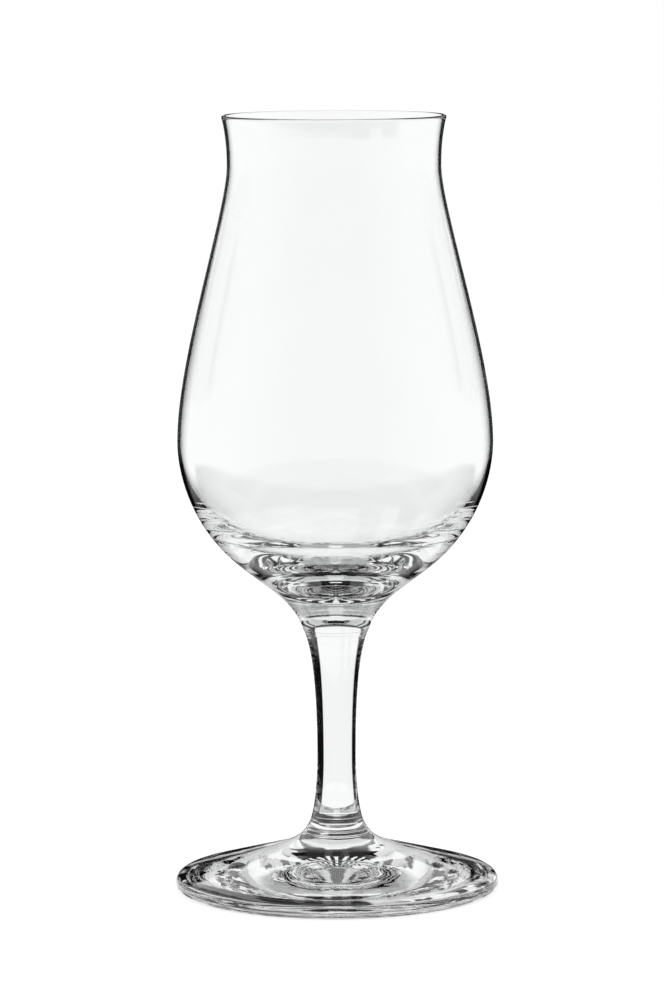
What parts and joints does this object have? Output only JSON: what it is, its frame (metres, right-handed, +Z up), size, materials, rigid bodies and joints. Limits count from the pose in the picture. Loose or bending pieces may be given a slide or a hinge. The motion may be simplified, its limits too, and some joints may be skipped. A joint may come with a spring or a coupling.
{
  "type": "whisky nosing glass",
  "caption": "Stemmed tulip glass for nosing whisky: flared rim, narrow neck, round belly over a thick solid base, waisted stem and shallow conical foot with a hollow underside.",
  "frame": {"origin": "centre of the foot's rest ring, on the surface that the glass stands on", "axes": "+Z up along the glass's axis of revolution, from the foot to the rim; X and Y are level and alike"},
  "size_m": [0.0722, 0.0722, 0.1725],
  "materials": {
    "clear_glass": "fire-polished, clear and colourless"
  },
  "bodies": {
    "root": {"bowl": "clear_glass", "stem": "clear_glass", "foot": "clear_glass"}
  },
  "joints": []
}
